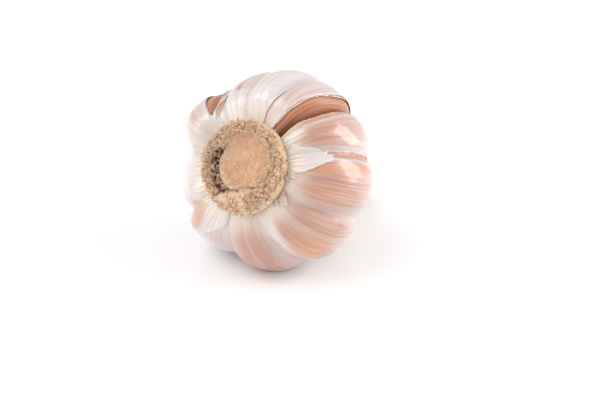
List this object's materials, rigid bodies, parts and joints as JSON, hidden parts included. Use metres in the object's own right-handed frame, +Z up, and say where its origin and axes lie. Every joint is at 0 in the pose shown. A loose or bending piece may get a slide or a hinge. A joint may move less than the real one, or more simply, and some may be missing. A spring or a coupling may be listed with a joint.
{
  "type": "garlic bulb",
  "caption": "Whole garlic bulb lying on its side: a round lobed head in torn papery skins over plump cloves, with a corky root plate and a cut dry neck.",
  "frame": {"origin": "on the surface the bulb lies on, under the middle of its bounding box", "axes": "+Z up, -Y towards the root plate, +Y towards the neck, +X to the right when the root plate is seen from the front"},
  "size_m": [0.0576, 0.0606, 0.0501],
  "materials": {
    "corky_plate": "rough, dry and corky, with a ring of root stubs",
    "dry_stalk": "dry, fibrous and matt",
    "inner_skin": "thin papery skin, satin",
    "outer_skin": "thin white papery skin with pink and tan veins, silky",
    "clove_skin": "tight brown clove skin, smooth and glossy"
  },
  "bodies": {
    "root": {"root_plate": "corky_plate", "central_stalk": "dry_stalk", "inner_skin": "inner_skin", "outer_skin": "outer_skin", "clove_01": "clove_skin", "clove_02": "clove_skin", "clove_03": "clove_skin", "clove_04": "clove_skin", "clove_05": "clove_skin", "clove_06": "clove_skin", "clove_07": "clove_skin", "clove_08": "clove_skin", "clove_09": "clove_skin", "clove_10": "clove_skin"}
  },
  "joints": []
}
